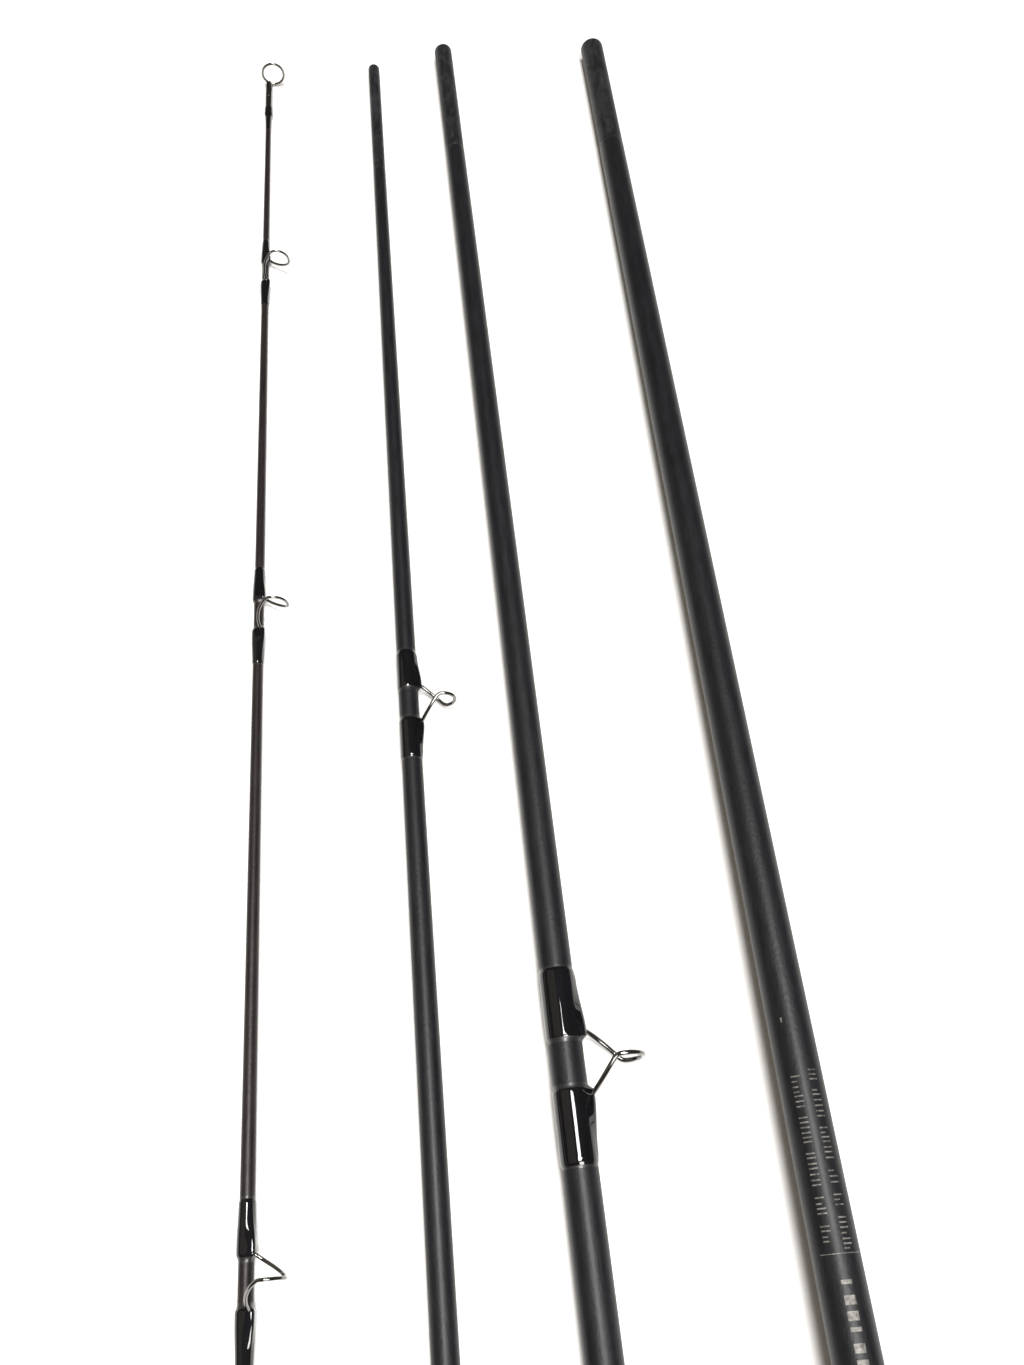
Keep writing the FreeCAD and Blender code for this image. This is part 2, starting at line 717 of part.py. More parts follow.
def make_lock(rod):
    """The sliding hood, the washer behind it, and the knurled nut that drives both."""
    start = cell("slide_hood_start")
    end = start + cell("slide_hood_length")
    bore_r = cell("barrel_r") + cell("hood_clearance")
    rod.node("sliding_hood", "butt", hood_form(rod, "sliding_hood", bore_r, start, end, False))
    washer_end = end + cell("washer_length")
    washer = rod.revolved("hood_washer_form", outline_of(
        (bore_r, end), (bore_r + 1.25, end), (bore_r + 1.25, washer_end), (bore_r, washer_end)))
    rod.node("hood_washer", "butt", washer)
    nut_start = washer_end + cell("nut_gap")
    nut_end = nut_start + cell("nut_length")
    nut_r = cell("nut_r")
    groove = nut_end - cell("nut_length") * 0.26
    ring_r = cell("nut_ring_r")
    turned = rod.revolved("lock_nut_turned", outline_of(
        (bore_r, nut_start), (nut_r - 1.2, nut_start), (nut_r - 1.2, nut_start + 1.0),
        (nut_r, nut_start + 1.4), (nut_r, groove - ring_r), (nut_r - 1.0, groove - ring_r),
        (nut_r - 1.0, groove + ring_r), (nut_r, groove + ring_r), (nut_r, nut_end - 0.5),
        (nut_r - 0.5, nut_end), (bore_r, nut_end)))
    flutes = []
    count = int(SIZES["knurl_count"])
    for index in range(count):
        angle = 2 * math.pi * index / count
        flute = rod.add("Part::Cylinder", "knurl_" + str(index + 1))
        bind(flute, Radius=cell("knurl_r"), Height=groove - nut_start - ring_r - 1.6)
        middle = nut_r + cell("knurl_r") * 0.45
        put(flute, middle * math.cos(angle), nut_start + 1.5, middle * math.sin(angle), ALONG_Y)
        flutes.append(flute)
    knurl = rod.add("Part::Compound", "knurl_flutes")
    knurl.Links = flutes
    rod.node("lock_nut", "butt", rod.cut("lock_nut_form", turned, knurl))
    ring = rod.add("Part::Torus", "nut_ring_form")
    bind(ring, Radius1=nut_r - 1.0 + ring_r + 0.01, Radius2=ring_r - 0.01)
    put(ring, 0.0, groove, 0.0, ALONG_Y)
    rod.node("nut_grip_ring", "butt", ring)


# ---------------------------------------------------------------- layout

def section_frame(section):
    """How a section's own frame lies on the table."""
    front_z, back_z = SIZES[section + "_front_z"], SIZES[section + "_back_z"]
    pitch = math.degrees(math.asin((back_z - front_z) / SIZES["section_length"]))
    face_down = FreeCAD.Rotation(Vector(1, 0, 0), 180)
    roll = FreeCAD.Rotation(Vector(0, 1, 0), -SIZES[section + "_roll"])
    nose_down = FreeCAD.Rotation(Vector(1, 0, 0), -pitch)
    turn = FreeCAD.Rotation(Vector(0, 0, 1), -SIZES[section + "_yaw"])
    base = Vector(SIZES[section + "_x"], SIZES[section + "_y"], front_z)
    return FreeCAD.Placement(base, turn * nose_down * roll * face_down)


def lay_out(rod):
    """Lay the sections side by side, with the origin under the middle of their common box."""
    box = FreeCAD.BoundBox()
    for item, section in rod.nodes.values():
        item.Placement = section_frame(section)
        box.add(item.Shape.optimalBoundingBox(False))
    shift = Vector(-box.Center.x, -box.Center.y, -box.ZMin)
    for item, section in rod.nodes.values():
        placement = section_frame(section)
        placement.Base = placement.Base + shift
        item.Placement = placement
    return shift


def check(rod):
    for item in rod.document.Objects:
        if "Invalid" in item.State or "Error" in item.State:
            raise ValueError(item.Label + " did not recompute")
    for name, (item, section) in rod.nodes.items():
        if item.Shape.isNull() or not item.Shape.isValid() or not item.Shape.Solids:
            raise ValueError(name + " has no valid solid")


def build():
    rod = Rod()
    for section, inner in (("tip", "upper"), ("upper", "lower"), ("lower", "butt"), ("butt", None)):
        label = {"upper": "upper_mid", "lower": "lower_mid"}.get(section, section)
        rod.node(label + "_blank", section, make_blank(rod, section, inner))
        if inner:
            make_ferrule_wrap(rod, section, label)
    for section, count in (("tip", 5), ("upper", 3), ("lower", 1)):
        for number in range(1, count + 1):
            make_snake_guide(rod, section, number)
    make_tip_top(rod)
    make_stripping_guide(rod)
    make_hook_keeper(rod)
    make_grip(rod)
    make_reel_seat(rod)
    rod.document.recompute()
    check(rod)
    lay_out(rod)
    return rod


def write_parts(rod):
    os.makedirs("parts", exist_ok=True)
    for name, (item, section) in rod.nodes.items():
        item.Shape.exportStep(os.path.join("parts", name + ".step"))


rod = build()
write_parts(rod)
for name, (item, section) in rod.nodes.items():
    box = item.Shape.optimalBoundingBox(False)
    print("%-28s %2d solids  volume %9.2f  lowest %6.2f" % (
        name, len(item.Shape.Solids), item.Shape.Volume, box.ZMin))
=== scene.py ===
"""Looks of the four-section fly rod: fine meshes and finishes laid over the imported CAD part.

Lengths are millimetres until a piece is made. Stations run back from a section's front end.
In a section's own frame X points to its guides, Y runs back along it and Z is square to both.
"""

import json
import math
import random

import bpy
from mathutils import Matrix, Vector, noise


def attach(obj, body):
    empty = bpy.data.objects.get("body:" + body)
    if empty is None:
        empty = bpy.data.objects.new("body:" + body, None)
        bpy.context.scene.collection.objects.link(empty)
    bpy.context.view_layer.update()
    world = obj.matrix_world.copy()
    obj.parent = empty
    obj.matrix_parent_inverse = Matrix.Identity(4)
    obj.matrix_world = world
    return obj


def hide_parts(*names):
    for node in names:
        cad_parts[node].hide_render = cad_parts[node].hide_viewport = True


MM = 0.001
TURN = 2 * math.pi
AROUND = 64            # points round a blank, and round most turned pieces
SLIM_AROUND = 48       # points round the tip top's tube and wrap
BROAD_AROUND = 96      # points round the widest turned rings
GRIP_AROUND = 120
WIRE_AROUND = 20
HOOP_STEPS = 96        # steps round a hoop of wire
CLOSED = 0.02          # radius at which a turned end counts as closed
CLEARANCE = 0.02       # between a blank and what lies on it

SECTION_LENGTH = 728.0
SEAT_END = 56.5        # where a section's plain front end stops
SEAT_STEP = SEAT_END + 0.01
SOCKET_DEPTH = 60.0
GRIP_START = 443.0
GRIP_LENGTH = 175.0
CORK_RINGS = 14

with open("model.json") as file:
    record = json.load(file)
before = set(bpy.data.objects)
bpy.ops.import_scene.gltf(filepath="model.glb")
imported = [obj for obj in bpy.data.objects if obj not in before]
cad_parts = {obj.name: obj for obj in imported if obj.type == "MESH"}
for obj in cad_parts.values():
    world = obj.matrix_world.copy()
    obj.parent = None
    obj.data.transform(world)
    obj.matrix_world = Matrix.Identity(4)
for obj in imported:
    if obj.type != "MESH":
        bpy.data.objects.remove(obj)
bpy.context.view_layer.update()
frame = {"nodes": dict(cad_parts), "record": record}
mounts = {mount["name"]: mount for mount in frame["record"]["mounts"]}


# ---------------------------------------------------------------- section frames

class Section:
    """One loose section: its body, the way it lies, and its blank's (station, radius) corners."""

    def __init__(self, body, mount, station, guide, blank):
        self.body = body
        self.blank = blank
        stated = mounts[mount]
        back = Vector(stated["axis"]).normalized()
        if back.y > 0:
            back = -back
        origin = Vector(stated["pos_m"]) - back * station * MM
        if guide is None:
            out = Vector(mounts["reel_foot_bed"]["axis"])
        else:
            out = self.side_of(guide, origin, back)
        out = (out - back * out.dot(back)).normalized()
        across = out.cross(back)
        self.matrix = Matrix((
            (out.x, back.x, across.x, origin.x),
            (out.y, back.y, across.y, origin.y),
            (out.z, back.z, across.z, origin.z),
            (0, 0, 0, 1)))

    @staticmethod
    def side_of(guide, origin, back):
        """The way from the section's axis to the middle of a guide's wire."""
        total = Vector((0, 0, 0))
        for vertex in frame["nodes"][guide].data.vertices:
            reach = vertex.co - origin
            total += reach - back * reach.dot(back)
        return total

    def radius(self, station):
        """The blank's outside radius at a station."""
        points = self.blank
        for (near, near_r), (far, far_r) in zip(points, points[1:]):
            if station <= far:
                share = max(0.0, (station - near) / (far - near))
                return near_r + (far_r - near_r) * share
        return points[-1][1]


TIP = Section(
    "tip_section", "tip_ferrule_socket", SECTION_LENGTH, "tip_snake_guide_3",
    ((3.5, 0.81), (400, 1.56), (655, 2.15), (SECTION_LENGTH, 2.45)))
UPPER = Section(
    "upper_mid_section", "upper_mid_ferrule_socket", SECTION_LENGTH, "upper_mid_snake_guide_2",
    ((0, 1.93), (SEAT_END, 1.93), (SEAT_STEP, 1.98), (400, 2.73), (655, 3.30), (SECTION_LENGTH, 3.60)))
LOWER = Section(
    "lower_mid_section", "lower_mid_ferrule_socket", SECTION_LENGTH, "lower_mid_snake_guide_1",
    ((0, 3.025), (SEAT_END, 3.025), (SEAT_STEP, 3.075), (400, 3.74), (655, 4.23), (SECTION_LENGTH, 4.55)))
BUTT = Section(
    "butt_section", "butt_ferrule_pin", SEAT_END, None,
    ((0, 3.92), (SEAT_END, 3.92), (SEAT_STEP, 3.97), (400, 4.61), (655, 5.08), (718, 5.20)))


# ---------------------------------------------------------------- mesh makers

def at_angle(radius, angle, station):
    """The point at a radius and an angle round a section's axis."""
    return Vector((radius * math.cos(angle), station, radius * math.sin(angle)))


class Skin:
    """Points and faces gathered in a section's frame, made into one piece at the end."""

    def __init__(self):
        self.points = []
        self.faces = []

    def loft(self, rings, start_cap=False, end_cap=False):
        """A skin through closed rings that all have the same number of points."""
        count = len(rings[0])
        first = len(self.points)
        for ring in rings:
            self.points.extend(ring)
        for row in range(len(rings) - 1):
            low = first + row * count
            for index in range(count):
                after = (index + 1) % count
                self.faces.append((low + index, low + after,
                                   low + count + after, low + count + index))
        if start_cap:
            self.faces.append(tuple(reversed(range(first, first + count))))
        if end_cap:
            last = first + (len(rings) - 1) * count
            self.faces.append(tuple(range(last, last + count)))
        return self

    def turned(self, outline, around=AROUND, centre=(0.0, 0.0), closed=False):
        """A form turned about a line along Y, from (radius, station) corners."""
        corners = list(outline) + ([outline[0]] if closed else [])
        rings = []
        for radius, station in corners:
            rings.append([Vector((centre[0] + radius * math.cos(TURN * i / around), station,
                                  centre[1] + radius * math.sin(TURN * i / around)))
                          for i in range(around)])
        return self.loft(rings)

    def hoop(self, centre, hoop_r, wire_r):
        """A closed hoop of round wire, lying square to Y."""
        rings = []
        for index in range(HOOP_STEPS + 1):
            angle = TURN * index / HOOP_STEPS
            out = Vector((math.cos(angle), 0, math.sin(angle)))
            rings.append([centre + out * (hoop_r + wire_r * math.cos(TURN * i / WIRE_AROUND))
                          + Vector((0, wire_r * math.sin(TURN * i / WIRE_AROUND), 0))
                          for i in range(WIRE_AROUND)])
        return self.loft(rings)

    def tube(self, path, radii):
        """A round tube along a path, its radius given point by point, capped at both ends."""
        rings = []
        ahead = (path[1] - path[0]).normalized()
        side = ahead.orthogonal().normalized()
        for index, point in enumerate(path):
            before = path[max(0, index - 1)]
            after = path[min(len(path) - 1, index + 1)]
            ahead = (after - before).normalized()
            side = (side - ahead * side.dot(ahead)).normalized()
            third = ahead.cross(side)
            radius = radii[index]
            ring = []
            for i in range(WIRE_AROUND):
                angle = TURN * i / WIRE_AROUND
                ring.append(point + (side * math.cos(angle) + third * math.sin(angle)) * radius)
            rings.append(ring)
        return self.loft(rings, True, True)

    def ball(self, centre, radii):
        """A closed ellipsoid, for a blob of solder."""
        rows, around = 12, 24
        rings = []
        for row in range(1, rows):
            tilt = math.pi * row / rows
            ring = []
            for i in range(around):
                angle = TURN * i / around
                ring.append(Vector((centre[0] + radii[0] * math.sin(tilt) * math.cos(angle),
                                    centre[1] - radii[1] * math.cos(tilt),
                                    centre[2] + radii[2] * math.sin(tilt) * math.sin(angle))))
            rings.append(ring)
        return self.loft(rings, True, True)

    def piece(self, name, section, material, nodes=(), slot=None, crease=35.0, clear=None):
        """The finished piece; clear is a second material and the stations that it covers."""
        mesh = bpy.data.meshes.new(name)
        mesh.from_pydata([point * MM for point in self.points], [], self.faces)
        mesh.update()
        mesh.polygons.foreach_set("use_smooth", [True] * len(mesh.polygons))
        mesh.set_sharp_from_angle(angle=math.radians(crease))
        piece = bpy.data.objects.new(name, mesh)
        bpy.context.scene.collection.objects.link(piece)
        mesh.materials.append(material)
        if clear:
            mesh.materials.append(clear[0])
            for polygon in mesh.polygons:
                station = polygon.center.y / MM
                polygon.material_index = any(low <= station <= high for low, high in clear[1])
        piece.matrix_world = section.matrix
        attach(piece, section.body)
        if nodes:
            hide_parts(*nodes)
        return piece


def spread(start, end, step):
    """Evenly spread numbers from start to end, about a step apart, both ends kept."""
    count = max(1, round(abs(end - start) / step))
    return [start + (end - start) * index / count for index in range(count + 1)]


def rounded(points, times):
    """A path with its corners cut again and again until it runs smoothly."""
    for _ in range(times):
        cut = [points[0]]
        for before, after in zip(points, points[1:]):
            cut.append(before.lerp(after, 0.25))
            cut.append(before.lerp(after, 0.75))
        points = cut + [points[-1]]
    return points


def between(value, low, high):
    """Nought below low, one above high, and a smooth rise from one to the other."""
    share = min(1.0, max(0.0, (value - low) / (high - low)))
    return share * share * (3 - 2 * share)


# ---------------------------------------------------------------- finishes

class Finish:
    """One material, built from shader nodes joined by short calls."""

    def __init__(self, name, color, metallic=0.0, roughness=0.5, coat=0.0, coat_roughness=0.05):
        self.material = bpy.data.materials.new(name)
        self.material.use_nodes = True
        self.tree = self.material.node_tree
        self.surface = self.tree.nodes["Principled BSDF"]
        self.set("Base Color", (*color, 1))
        self.set("Metallic", metallic)
        self.set("Roughness", roughness)
        self.set("Coat Weight", coat)
        self.set("Coat Roughness", coat_roughness)
        self.place = self.tree.nodes.new("ShaderNodeTexCoord").outputs["Object"]

    def set(self, socket, value):
        """Sets one of the shader's own sockets."""
        self.surface.inputs[socket].default_value = value

    def feed(self, socket, source):
        """Joins a field or colour to one of the shader's sockets."""
        self.tree.links.new(source, self.surface.inputs[socket])

    def stretched(self, scale):
        """The object's own coordinates, scaled along each axis."""
        node = self.tree.nodes.new("ShaderNodeMapping")
        node.inputs["Scale"].default_value = scale
        self.tree.links.new(self.place, node.inputs["Vector"])
        return node.outputs["Vector"]

    def grain(self, scale, detail=4.0, rough=0.6, twist=0.0):
        """A cloudy field from 0 to 1; scale is given along each axis in features per metre."""
        node = self.tree.nodes.new("ShaderNodeTexNoise")
        node.inputs["Scale"].default_value = 1.0
        node.inputs["Detail"].default_value = detail
        node.inputs["Roughness"].default_value = rough
        node.inputs["Distortion"].default_value = twist
        self.tree.links.new(self.stretched(scale), node.inputs["Vector"])
        return node.outputs["Fac"]

    def cells(self, scale):
        """Distance from scattered points, for pits and flecks."""
        node = self.tree.nodes.new("ShaderNodeTexVoronoi")
        node.inputs["Scale"].default_value = 1.0
        self.tree.links.new(self.stretched(scale), node.inputs["Vector"])
        return node.outputs["Distance"]

    def along(self, axis):
        """One of the object's own coordinates, in metres."""
        node = self.tree.nodes.new("ShaderNodeSeparateXYZ")
        self.tree.links.new(self.place, node.inputs["Vector"])
        return node.outputs[axis]

    def ramp(self, source, *stops):
        """Turns a field into a value or colour through (position, colour or value) stops."""
        node = self.tree.nodes.new("ShaderNodeValToRGB")
        elements = node.color_ramp.elements
        while len(elements) < len(stops):
            elements.new(0.5)
        for element, (position, value) in zip(elements, stops):
            element.position = position
            element.color = (*value, 1) if isinstance(value, tuple) else (value, value, value, 1)
        self.tree.links.new(source, node.inputs["Fac"])
        return node.outputs["Color"]

    def math(self, kind, first, second=0.0):
        """A sum on numbers or fields; kinds that take one number leave the second alone."""
        node = self.tree.nodes.new("ShaderNodeMath")
        node.operation = kind
        for socket, value in zip(node.inputs, (first, second)):
            if isinstance(value, (int, float)):
                socket.default_value = value
            else:
                self.tree.links.new(value, socket)
        return node.outputs["Value"]

    def mix(self, share, first, second, blend="MIX"):
        """Two colours mixed by a share; each may be a number, a colour or a field."""
        node = self.tree.nodes.new("ShaderNodeMix")
        node.data_type = "RGBA"
        node.blend_type = blend
        sockets = {socket.identifier: socket for socket in node.inputs}
        for key, value in (("Factor_Float", share), ("A_Color", first), ("B_Color", second)):
            if isinstance(value, tuple):
                sockets[key].default_value = (*value, 1)
            elif isinstance(value, (int, float)):
                sockets[key].default_value = value
            else:
                self.tree.links.new(value, sockets[key])
        return [socket for socket in node.outputs if socket.identifier == "Result_Color"][0]

    def relief(self, height, depth, socket="Normal"):
        """Fine relief; depth is in metres."""
        node = self.tree.nodes.new("ShaderNodeBump")
        node.inputs["Strength"].default_value = 1.0
        node.inputs["Distance"].default_value = depth
        self.tree.links.new(height, node.inputs["Height"])
        self.feed(socket, node.outputs["Normal"])


def graphite(name, dark, light, seat_end):
    """Satin lacquer over graphite cloth; the seat at the front end is duller, with a scuffed ring."""
    finish = Finish(name, dark, roughness=0.48, coat=0.06, coat_roughness=0.25)
    finish.set("Specular IOR Level", 0.33)
    mottle = finish.grain((900, 120, 900), 6.0, 0.7)
    color = finish.mix(finish.ramp(mottle, (0.35, 0.0), (0.7, 1.0)), dark, light)
    station = finish.along("Y")
    if seat_end:
        seat = finish.math("LESS_THAN", station, seat_end * MM)
        worn = finish.grain((260, 95, 260), 6.0, 0.75, 1.2)
        dull = tuple(channel * 1.4 + 0.013 for channel in light)
        dulled = finish.mix(finish.ramp(worn, (0.42, 0.0), (0.66, 1.0)), dark, dull)
        color = finish.mix(seat, color, dulled)
        offset = finish.math("ABSOLUTE", finish.math("SUBTRACT", station, seat_end * MM))
        ring = finish.math("LESS_THAN", offset, 0.5 * MM)
        broken = finish.ramp(finish.grain((700, 500, 700), 3.0), (0.5, 0.0), (0.62, 0.6))
        color = finish.mix(finish.math("MULTIPLY", ring, broken), color, (0.08, 0.077, 0.074))
        satin = finish.ramp(mottle, (0.3, 0.42), (0.75, 0.52))
        finish.feed("Roughness", finish.math("ADD", satin, finish.math("MULTIPLY", seat, 0.12)))
    else:
        finish.feed("Roughness", finish.ramp(mottle, (0.3, 0.40), (0.75, 0.52)))
    finish.feed("Base Color", color)
    finish.relief(finish.grain((1700, 1300, 1700), 3.0), 0.00007)
    return finish.material


def wound_thread():
    """Black thread laid turn against turn, seen through clear gloss epoxy, with painted shade in the
    grooves between turns.
    """
    finish = Finish("wrap_thread", (0.003, 0.003, 0.0035), roughness=0.6,
                    coat=1.0, coat_roughness=0.03)
    finish.set("Specular IOR Level", 0.05)
    turns = finish.tree.nodes.new("ShaderNodeTexWave")
    turns.bands_direction = "Y"
    turns.inputs["Scale"].default_value = 1000.0
    turns.inputs["Distortion"].default_value = 0.4
    finish.tree.links.new(finish.place, turns.inputs["Vector"])
    # painted shade: the grooves between turns are coloured darker and the crests lighter, following the
    # same bands as the relief
    groove_shade = finish.ramp(turns.outputs["Fac"],
                        (0.2, (0.0005, 0.0005, 0.0012)), (0.9, (0.0018, 0.0018, 0.0036)))
    cloud = finish.ramp(finish.grain((260, 120, 260), 3.0), (0.4, 0.7), (0.65, 1.3))
    finish.feed("Base Color", finish.mix(1.0, groove_shade, cloud, "MULTIPLY"))
    finish.relief(turns.outputs["Fac"], 0.00003)
    finish.relief(finish.grain((350, 90, 350), 2.0), 0.00003, "Coat Normal")
    return finish.material


def polished(name, color, low, high):
    """Bare polished metal with faint wear in its roughness, from low to high."""
    finish = Finish(name, color, metallic=1.0, roughness=low)
    worn = finish.grain((900, 900, 900), 5.0, 0.6)
    finish.feed("Roughness", finish.ramp(worn, (0.35, low), (0.75, high)))
    dim = tuple(channel * 0.82 for channel in color)
    finish.feed("Base Color", finish.mix(finish.ramp(worn, (0.45, 0.0), (0.8, 1.0)), color, dim))
    return finish.material


def cork():
    """Pressed natural cork: pale cells, darker growth marks and pits, each ring its own tone."""
    finish = Finish("cork", (0.6, 0.42, 0.25), roughness=0.85)
    reach = finish.math("SUBTRACT", finish.along("Y"), GRIP_START * MM)
    number = finish.math("FLOOR", finish.math("DIVIDE", reach, GRIP_LENGTH / CORK_RINGS * MM))
    tone = finish.tree.nodes.new("ShaderNodeTexWhiteNoise")
    tone.noise_dimensions = "1D"
    finish.tree.links.new(number, tone.inputs["W"])
    pale = finish.ramp(tone.outputs["Value"], (0.0, (0.50, 0.33, 0.18)),
                       (0.5, (0.57, 0.385, 0.225)), (1.0, (0.63, 0.44, 0.265)))
    cells = finish.ramp(finish.grain((420, 260, 420), 8.0, 0.75, 0.6), (0.3, 0.72), (0.62, 1.08))
    color = finish.mix(1.0, pale, cells, "MULTIPLY")
    pits = finish.ramp(finish.grain((330, 900, 330), 3.0, 0.5, 1.5), (0.60, 0.0), (0.66, 1.0))
    color = finish.mix(finish.math("MULTIPLY", pits, 0.8), color, (0.16, 0.075, 0.035))
    flecks = finish.ramp(finish.cells((900, 900, 900)), (0.04, 1.0), (0.12, 0.0))
    color = finish.mix(finish.math("MULTIPLY", flecks, 0.5), color, (0.22, 0.12, 0.06))
    finish.feed("Base Color", color)
    finish.relief(finish.grain((1500, 1500, 1500), 5.0), 0.00008)
    return finish.material


def walnut():
    """Oiled walnut with its grain along the seat."""
    finish = Finish("walnut", (0.16, 0.075, 0.035), roughness=0.4, coat=0.25, coat_roughness=0.2)
    bands = finish.grain((420, 14, 420), 5.0, 0.6, 2.2)
    color = finish.ramp(bands, (0.32, (0.035, 0.014, 0.007)), (0.5, (0.125, 0.055, 0.026)),
                        (0.68, (0.25, 0.125, 0.06)))
    pores = finish.ramp(finish.grain((3000, 120, 3000), 2.0), (0.60, 1.0), (0.68, 0.35))
    finish.feed("Base Color", finish.mix(1.0, color, pores, "MULTIPLY"))
    finish.feed("Roughness", finish.ramp(bands, (0.3, 0.34), (0.7, 0.5)))
    finish.relief(pores, 0.00002)
    return finish.material


def speckled(name, dark, light, roughness, coat=0.0, depth=0.00001, metallic=0.0, scale=1800):
    """A plain coloured stuff with a fine grain in its colour, sheen and surface."""
    finish = Finish(name, dark, metallic=metallic, roughness=roughness,
                    coat=coat, coat_roughness=0.2)
    speck = finish.grain((scale, scale, scale), 5.0)
    finish.feed("Base Color", finish.mix(finish.ramp(speck, (0.35, 0.0), (0.7, 1.0)), dark, light))
    finish.feed("Roughness", finish.ramp(speck, (0.3, roughness - 0.05), (0.75, roughness + 0.08)))
    finish.relief(speck, depth)
    return finish.material


tip_graphite = graphite(
    "graphite_tip", (0.0075, 0.0052, 0.0054), (0.016, 0.0115, 0.0115), None)
mid_graphite = graphite(
    "graphite_mid", (0.0030, 0.0032, 0.0048), (0.0085, 0.0088, 0.0112), SEAT_END)
butt_graphite = graphite(
    "graphite_butt", (0.0022, 0.0023, 0.0038), (0.0070, 0.0072, 0.0095), SEAT_END)
thread = wound_thread()
epoxy_over = {}
for section, label, dark, light in (
        (TIP, "tip", (0.009, 0.007, 0.007), (0.015, 0.012, 0.012)),
        (UPPER, "upper_mid", (0.007, 0.007, 0.008), (0.012, 0.012, 0.013)),
        (LOWER, "lower_mid", (0.007, 0.007, 0.008), (0.012, 0.012, 0.013))):
    epoxy_over[section] = speckled("epoxy_on_" + label, dark, light, 0.4, coat=0.35)
chrome = polished("chromed_wire", (0.21, 0.205, 0.20), 0.07, 0.15)
anodised = speckled(
    "black_anodised", (0.012, 0.012, 0.014), (0.022, 0.022, 0.024), 0.32, metallic=0.6)
nylon = speckled("black_nylon", (0.018, 0.018, 0.018), (0.034, 0.034, 0.034), 0.6)
rubber = speckled(
    "black_rubber", (0.012, 0.012, 0.012), (0.024, 0.023, 0.022), 0.72, depth=0.00003)
ceramic = speckled(
    "ring_ceramic", (0.035, 0.036, 0.040), (0.06, 0.061, 0.066), 0.16, coat=0.8)
foam = speckled("arbor_foam", (0.62, 0.58, 0.48), (0.75, 0.72, 0.62), 0.9, depth=0.0001)
foil = speckled(
    "silver_print", (0.05, 0.048, 0.044), (0.27, 0.262, 0.24), 0.5, metallic=0.3, scale=1100)
cork_stuff = cork()
wood = walnut()


# ---------------------------------------------------------------- blanks

LIP = 0.18             # how far a blank's ends are rounded over
LIP_CORNER = LIP * 0.3
FRONT_BORE_END = 240.0
TAPE_WIDTH = 6.0
TAPE_RIDGE = 0.006


def wind_tape(skin, section):
    """Raises the faint spiral in the lacquer that the wrapping tape left."""
    end = section.blank[-1][0]
    for index, point in enumerate(skin.points):
        radius = math.hypot(point.x, point.z)
        outside = radius > section.radius(point.y) - 0.05
        if outside and SEAT_END < point.y < end - 1.0:
            angle = math.atan2(point.z, point.x) / TURN
            step = (point.y / TAPE_WIDTH - angle) % 1.0
            lift = TAPE_RIDGE * between(step, 0.0, 0.15) * (1 - between(step, 0.85, 1.0))
            growth = 1 + lift / radius
            skin.points[index] = Vector((point.x * growth, point.y, point.z * growth))


def make_blank(name, section, material, socket, wall, node):
    """The blank's skin, lip, seat step and bore; socket and wall are a radius and a thickness."""
    start = section.blank[0][0]
    end = section.blank[-1][0]
    front_r = section.radius(start)
    back_r = section.radius(end)
    stations = spread(start, end, 3.0)
    if section is TIP:
        head = [(CLOSED, start), (front_r, start)]
    else:
        stations = sorted(stations + [SEAT_END - 0.12, SEAT_END, SEAT_END + 0.2])
        bore = front_r - wall
        head = [(bore, FRONT_BORE_END), (bore, start + LIP),
                (bore + LIP_CORNER, start + LIP_CORNER), (bore + LIP, start),
                (front_r - LIP, start), (front_r - LIP_CORNER, start + LIP_CORNER),
                (front_r, start + LIP)]
    outline = [(section.radius(station), station) for station in stations[1:-1]]
    tail = [(back_r, end - LIP), (back_r - LIP_CORNER, end - LIP_CORNER), (back_r - LIP, end),
            (socket + LIP, end), (socket, end - LIP),
            (socket, end - SOCKET_DEPTH), (CLOSED, end - SOCKET_DEPTH)]
    skin = Skin().turned(head + outline + tail)
    wind_tape(skin, section)
    return skin.piece(name, section, material, [node], "graphite_blank", 50.0)


make_blank("tip_blank_skin", TIP, tip_graphite, 1.96, 0.85, "tip_blank")
make_blank("upper_mid_blank_skin", UPPER, mid_graphite, 3.055, 0.85, "upper_mid_blank")
make_blank("lower_mid_blank_skin", LOWER, mid_graphite, 3.95, 0.95, "lower_mid_blank")
make_blank("butt_blank_skin", BUTT, butt_graphite, 4.1, 1.05, "butt_blank")


# ---------------------------------------------------------------- snake guides

THREAD_DEPTH = 0.14    # one layer of thread
THREAD_EDGE = 0.3      # over which the thread's first and last turns build up
EPOXY_AHEAD = 0.9      # epoxy past a wrap's heel
EPOXY_BEHIND = 0.6     # epoxy past a wrap's toe
EPOXY_SKIN = 0.015     # its thinnest
PLAIN_COAT = 0.075     # its depth over most wraps
RUN_OUT = 1.6          # length over which a plain coat thins out at the toe
RUN_OUT_PER_COAT = 30  # added to it for each millimetre of a deeper coat
SAG = 0.012            # how unevenly epoxy sets
FOOT_PER_WRAP = 0.82   # the share of a wrap's length that has a wire foot under it
HEEL = 1.5             # full thickness kept at a foot's heel
TOE_THINNING = 0.8     # share ground off a foot by its toe
THINNEST_WIRE = 0.01
WRAP_STEP = 0.25
TUCK = 0.9             # how far a wrap's ends are drawn in under the blank's skin


class Binding:
    """A wire bound to a blank by two wraps, one on each side of a gap."""

    def __init__(self, wire, half_gap, wrap, coat=PLAIN_COAT):
        self.wire = wire
        self.half_gap = half_gap
        self.wrap = wrap
        self.coat = coat
        self.foot = half_gap + FOOT_PER_WRAP * wrap

    def foot_x(self, section, station):
        """How far from the axis the middle of a foot's wire lies."""
        return section.radius(station + self.half_gap + self.wrap) + self.wire / 2 + CLEARANCE


